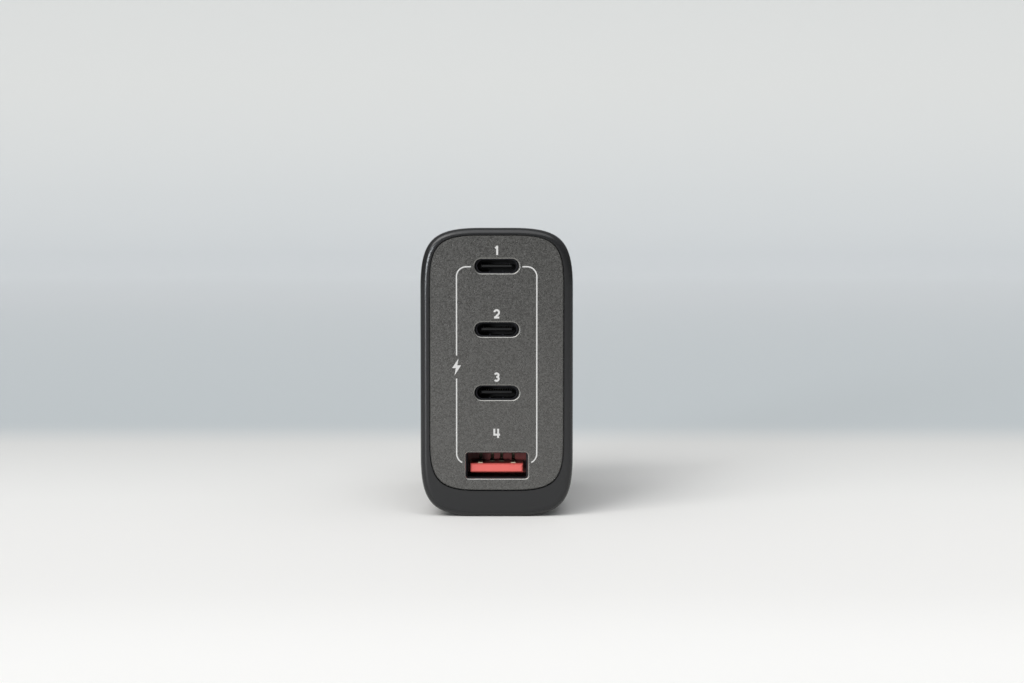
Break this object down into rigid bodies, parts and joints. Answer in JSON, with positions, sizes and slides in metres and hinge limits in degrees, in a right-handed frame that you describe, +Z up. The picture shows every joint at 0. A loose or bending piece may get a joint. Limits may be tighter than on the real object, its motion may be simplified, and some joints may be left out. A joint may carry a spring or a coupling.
{
  "type": "usb charger",
  "caption": "Compact wall charger on its narrow end: rounded box case, recessed panel with a column of USB-C and USB-A ports, and a flat-blade plug that folds into its back.",
  "frame": {"origin": "centre of the base it stands on, at the table", "axes": "+Z up, -Y out of the port panel, +Y out of the plug side, X across the width"},
  "size_m": [0.0322, 0.066, 0.061],
  "materials": {
    "case": "fine satin moulding",
    "panel": "fine metallic grey satin paint",
    "tape": "thin black tape",
    "hinge_plastic": "satin moulding",
    "blade": "bright nickel plate",
    "inner_plastic": "plain moulding",
    "screw": "zinc plate",
    "spring_metal": "bare spring bronze",
    "port_shell": "dark nickel plate",
    "port_black": "smooth moulding",
    "port_red": "smooth moulding",
    "contact_gold": "gold flash",
    "board": "solder mask",
    "ferrite": "matt sintered",
    "bobbin": "plain moulding",
    "winding_tape": "film tape",
    "winding_copper": "enamelled wire",
    "can_sleeve": "shrink sleeve",
    "can_metal": "bare can",
    "film_case": "filled box",
    "disc_coat": "dipped coat",
    "fuse_tube": "glazed tube",
    "chip": "moulded package",
    "spreader": "mill finish",
    "pad": "soft filled pad",
    "print": "white screen print"
  },
  "bodies": {
    "charger": {"bridge_rectifier": "chip", "bulk_capacitor_1": "can_sleeve", "bulk_capacitor_2": "can_sleeve", "choke_bobbin": "bobbin", "choke_core": "ferrite", "choke_winding": "winding_copper", "contact_left": "spring_metal", "contact_right": "spring_metal", "control_board": "board", "control_chip": "chip", "film_capacitor": "film_case", "filter_core": "ferrite", "filter_winding": "winding_copper", "front_panel": "panel", "heat_spreader_left": "spreader", "heat_spreader_right": "spreader", "input_board": "board", "line_fuse": "fuse_tube", "main_board": "board", "main_shell": "case", "output_capacitor_1": "can_metal", "output_capacitor_2": "can_metal", "output_capacitor_3": "can_metal", "panel_adhesive": "tape", "plug_retainer": "inner_plastic", "port_board": "board", "power_switches": "chip", "rear_cover": "case", "retainer_screws": "screw", "safety_capacitor": "disc_coat", "surge_disc": "disc_coat", "thermal_pad_left": "pad", "thermal_pad_right": "pad", "transformer_bobbin": "bobbin", "transformer_core": "ferrite", "transformer_winding": "winding_tape", "usb_a_contacts": "contact_gold", "usb_a_shell": "port_shell", "usb_a_tongue": "port_red", "usb_c_contacts_1": "contact_gold", "usb_c_contacts_2": "contact_gold", "usb_c_contacts_3": "contact_gold", "usb_c_shell_1": "port_shell", "usb_c_shell_2": "port_shell", "usb_c_shell_3": "port_shell", "usb_c_tongue_1": "port_black", "usb_c_tongue_2": "port_black", "usb_c_tongue_3": "port_black"},
    "plug": {"plug_carrier": "hinge_plastic", "blade_left": "blade", "blade_right": "blade"}
  },
  "joints": [
    {"name": "plug_fold", "type": "hinge", "parent": "charger", "child": "plug", "pos_m": [0, 0.0295, 0.04], "axis": [1, 0, 0], "range_deg": [0, 90]}
  ]
}
